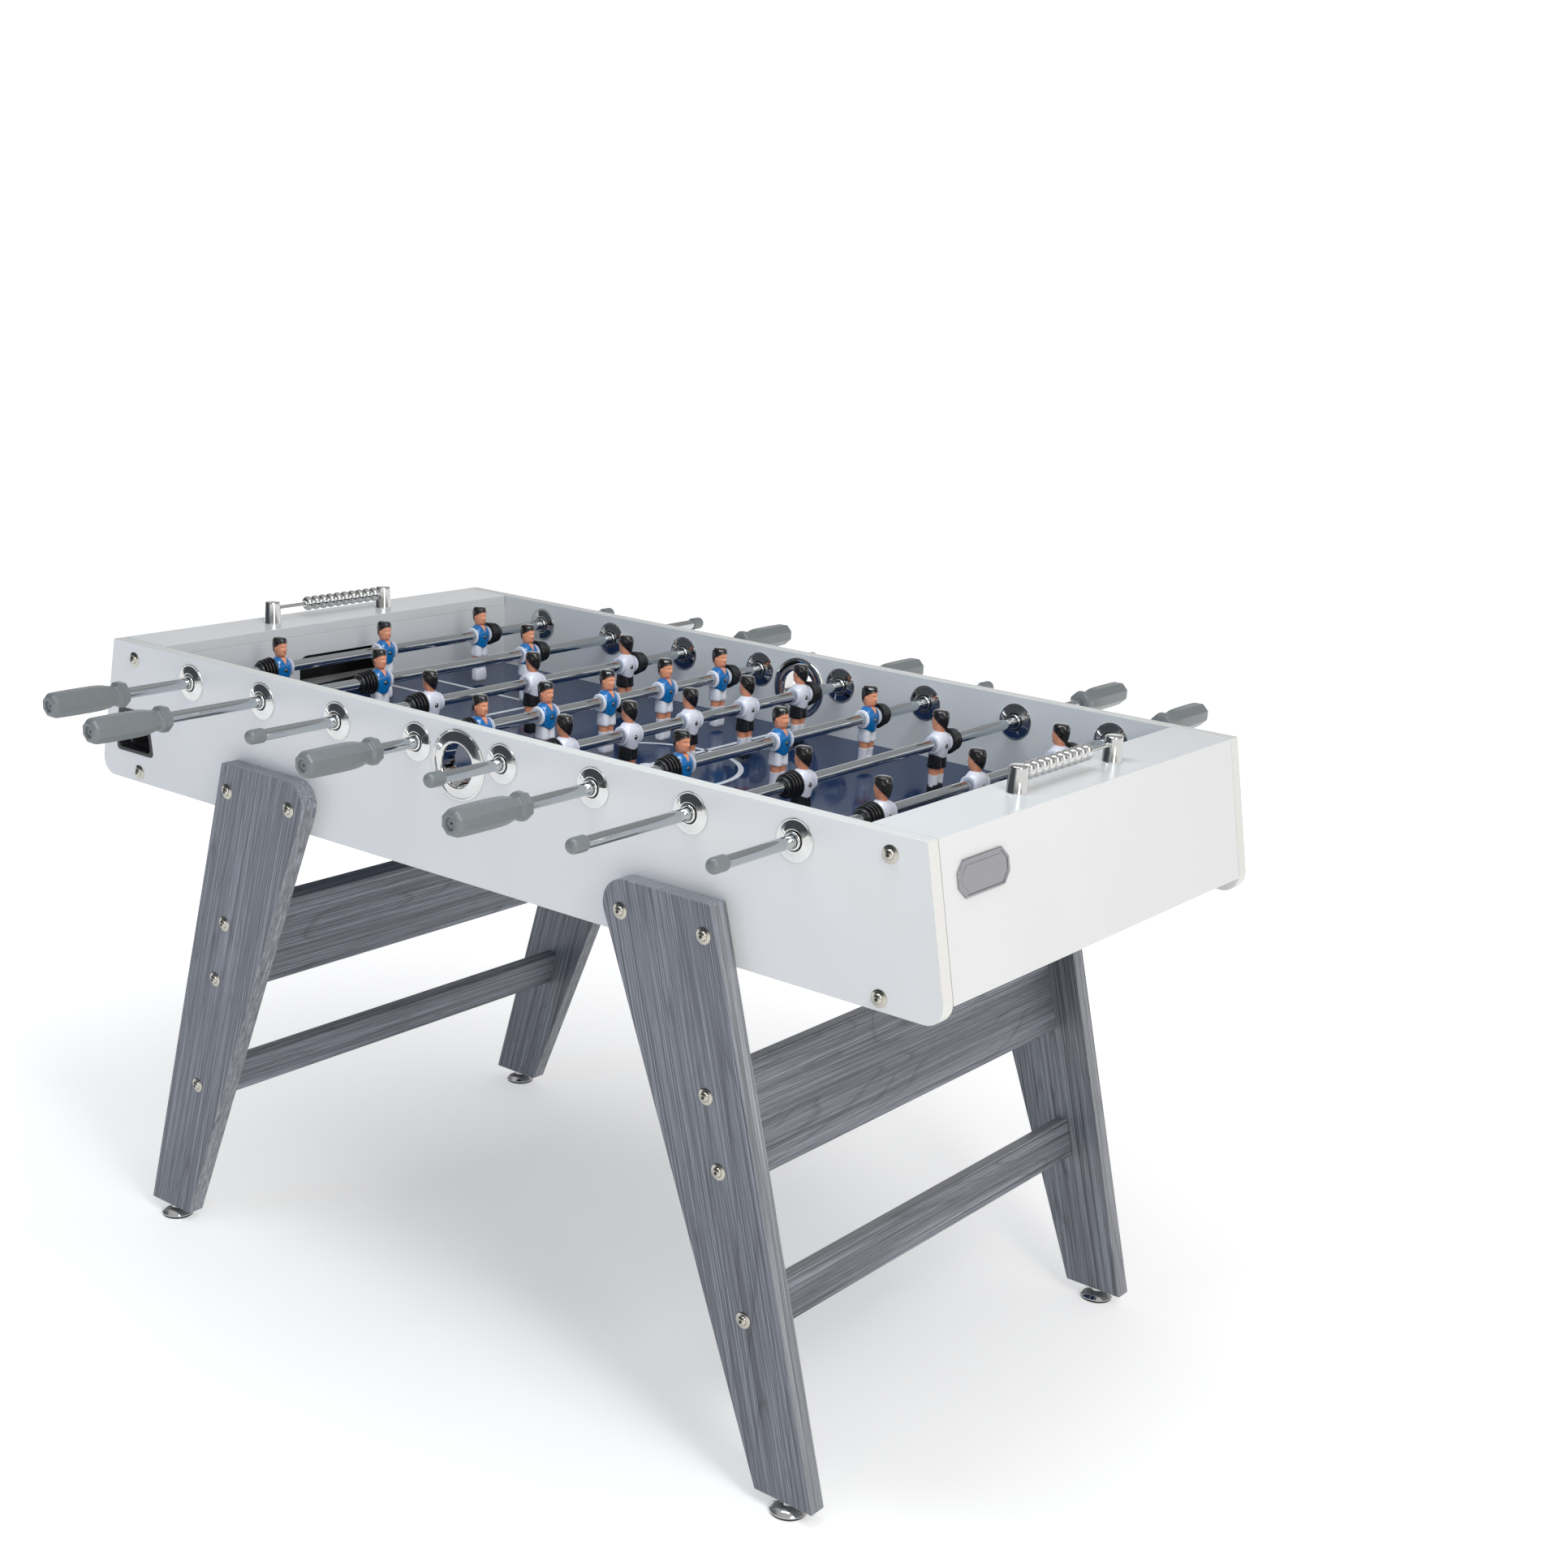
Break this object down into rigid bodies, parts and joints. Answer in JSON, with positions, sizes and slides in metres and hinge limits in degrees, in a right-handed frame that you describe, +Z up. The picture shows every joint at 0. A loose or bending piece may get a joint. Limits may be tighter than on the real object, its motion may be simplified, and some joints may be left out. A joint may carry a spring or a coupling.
{
  "type": "foosball table",
  "caption": "Free-standing table football game with a slanted-end cabinet, sliding and spinning player rods, ball returns, score counters and adjustable feet.",
  "frame": {"origin": "on the floor, under the middle of the table", "axes": "+X along the table towards the end with the badge, +Y across it towards the rear side panel, +Z up"},
  "size_m": [1.3732, 1.208, 0.8429],
  "materials": {
    "white_laminate": "satin white laminate",
    "playfield_print": "glossy printed navy board with white lines",
    "bare_wood": "sawn softwood",
    "bearing_chrome": "polished chrome on plastic",
    "entry_chrome": "polished chrome on plastic",
    "black_plastic": "moulded black plastic",
    "grey_woodgrain": "grey woodgrain laminate",
    "bolt_steel": "nickel plated",
    "score_chrome": "polished chrome",
    "bead_chrome": "polished chrome on plastic",
    "leveler_chrome": "polished chrome over a black pad",
    "pewter": "dark cast pewter",
    "rod_steel": "chrome plated steel tube",
    "blue_player": "painted moulded plastic",
    "white_player": "painted moulded plastic",
    "rubber": "black ribbed rubber",
    "grip_plastic": "satin grey plastic"
  },
  "bodies": {
    "cabinet": {"front_side_panel": "white_laminate", "rear_side_panel": "white_laminate", "left_end_panel": "white_laminate", "right_end_panel": "white_laminate", "left_top_board": "white_laminate", "right_top_board": "white_laminate", "playfield": "playfield_print", "left_goal_wall": "white_laminate", "right_goal_wall": "white_laminate", "corner_blocks": "bare_wood", "rod_bearings": "bearing_chrome", "ball_entry_cups": "entry_chrome", "ball_return_frames": "black_plastic", "ball_chutes": "black_plastic", "front_left_leg": "grey_woodgrain", "front_right_leg": "grey_woodgrain", "rear_left_leg": "grey_woodgrain", "rear_right_leg": "grey_woodgrain", "stretchers": "grey_woodgrain", "assembly_bolts": "bolt_steel", "score_frames": "score_chrome", "badge": "pewter"},
    "rod_carrier_1": {"bumpers_1": "rubber"},
    "rod_assembly_1": {"rod_1": "rod_steel", "players_1": "blue_player", "grips_1": "grip_plastic"},
    "rod_carrier_2": {"bumpers_2": "rubber"},
    "rod_assembly_2": {"rod_2": "rod_steel", "players_2": "blue_player", "grips_2": "grip_plastic"},
    "rod_carrier_3": {"bumpers_3": "rubber"},
    "rod_assembly_3": {"rod_3": "rod_steel", "players_3": "white_player", "grips_3": "grip_plastic"},
    "rod_carrier_4": {"bumpers_4": "rubber"},
    "rod_assembly_4": {"rod_4": "rod_steel", "players_4": "blue_player", "grips_4": "grip_plastic"},
    "rod_carrier_5": {"bumpers_5": "rubber"},
    "rod_assembly_5": {"rod_5": "rod_steel", "players_5": "white_player", "grips_5": "grip_plastic"},
    "rod_carrier_6": {"bumpers_6": "rubber"},
    "rod_assembly_6": {"rod_6": "rod_steel", "players_6": "blue_player", "grips_6": "grip_plastic"},
    "rod_carrier_7": {"bumpers_7": "rubber"},
    "rod_assembly_7": {"rod_7": "rod_steel", "players_7": "white_player", "grips_7": "grip_plastic"},
    "rod_carrier_8": {"bumpers_8": "rubber"},
    "rod_assembly_8": {"rod_8": "rod_steel", "players_8": "white_player", "grips_8": "grip_plastic"},
    "leveler_foot_1": {"leveler_1": "leveler_chrome"},
    "leveler_foot_2": {"leveler_2": "leveler_chrome"},
    "leveler_foot_3": {"leveler_3": "leveler_chrome"},
    "leveler_foot_4": {"leveler_4": "leveler_chrome"},
    "left_beads": {"left_score_beads": "bead_chrome"},
    "right_beads": {"right_score_beads": "bead_chrome"}
  },
  "joints": [
    {"name": "rod_1_slide", "type": "slide", "parent": "cabinet", "child": "rod_carrier_1", "axis": [0, 1, 0], "range_m": [-0.0846, 0.0906]},
    {"name": "rod_1_spin", "type": "hinge", "parent": "rod_carrier_1", "child": "rod_assembly_1", "pos_m": [-0.49, -0.003, 0.779], "axis": [0, 1, 0], "continuous": true},
    {"name": "rod_2_slide", "type": "slide", "parent": "cabinet", "child": "rod_carrier_2", "axis": [0, 1, 0], "range_m": [-0.1356, 0.1356]},
    {"name": "rod_2_spin", "type": "hinge", "parent": "rod_carrier_2", "child": "rod_assembly_2", "pos_m": [-0.35, 0, 0.779], "axis": [0, 1, 0], "continuous": true},
    {"name": "rod_3_slide", "type": "slide", "parent": "cabinet", "child": "rod_carrier_3", "axis": [0, 1, 0], "range_m": [-0.0926, 0.0826]},
    {"name": "rod_3_spin", "type": "hinge", "parent": "rod_carrier_3", "child": "rod_assembly_3", "pos_m": [-0.21, 0.005, 0.779], "axis": [0, 1, 0], "continuous": true},
    {"name": "rod_4_slide", "type": "slide", "parent": "cabinet", "child": "rod_carrier_4", "axis": [0, 1, 0], "range_m": [-0.0411, 0.0471]},
    {"name": "rod_4_spin", "type": "hinge", "parent": "rod_carrier_4", "child": "rod_assembly_4", "pos_m": [-0.07, -0.003, 0.779], "axis": [0, 1, 0], "continuous": true},
    {"name": "rod_5_slide", "type": "slide", "parent": "cabinet", "child": "rod_carrier_5", "axis": [0, 1, 0], "range_m": [-0.0401, 0.0481]},
    {"name": "rod_5_spin", "type": "hinge", "parent": "rod_carrier_5", "child": "rod_assembly_5", "pos_m": [0.07, -0.004, 0.779], "axis": [0, 1, 0], "continuous": true},
    {"name": "rod_6_slide", "type": "slide", "parent": "cabinet", "child": "rod_carrier_6", "axis": [0, 1, 0], "range_m": [-0.0876, 0.0876]},
    {"name": "rod_6_spin", "type": "hinge", "parent": "rod_carrier_6", "child": "rod_assembly_6", "pos_m": [0.21, 0, 0.779], "axis": [0, 1, 0], "continuous": true},
    {"name": "rod_7_slide", "type": "slide", "parent": "cabinet", "child": "rod_carrier_7", "axis": [0, 1, 0], "range_m": [-0.1356, 0.1356]},
    {"name": "rod_7_spin", "type": "hinge", "parent": "rod_carrier_7", "child": "rod_assembly_7", "pos_m": [0.35, 0, 0.779], "axis": [0, 1, 0], "continuous": true},
    {"name": "rod_8_slide", "type": "slide", "parent": "cabinet", "child": "rod_carrier_8", "axis": [0, 1, 0], "range_m": [-0.0916, 0.0836]},
    {"name": "rod_8_spin", "type": "hinge", "parent": "rod_carrier_8", "child": "rod_assembly_8", "pos_m": [0.49, 0.004, 0.779], "axis": [0, 1, 0], "continuous": true},
    {"name": "leveler_1_adjust", "type": "slide", "parent": "cabinet", "child": "leveler_foot_1", "axis": [0, 0, -1], "range_m": [0, 0.015]},
    {"name": "leveler_2_adjust", "type": "slide", "parent": "cabinet", "child": "leveler_foot_2", "axis": [0, 0, -1], "range_m": [0, 0.015]},
    {"name": "leveler_3_adjust", "type": "slide", "parent": "cabinet", "child": "leveler_foot_3", "axis": [0, 0, -1], "range_m": [0, 0.015]},
    {"name": "leveler_4_adjust", "type": "slide", "parent": "cabinet", "child": "leveler_foot_4", "axis": [0, 0, -1], "range_m": [0, 0.015]},
    {"name": "left_score_slide", "type": "slide", "parent": "cabinet", "child": "left_beads", "axis": [0, 1, 0], "range_m": [-0.0454, 0]},
    {"name": "right_score_slide", "type": "slide", "parent": "cabinet", "child": "right_beads", "axis": [0, 1, 0], "range_m": [0, 0.0454]}
  ]
}
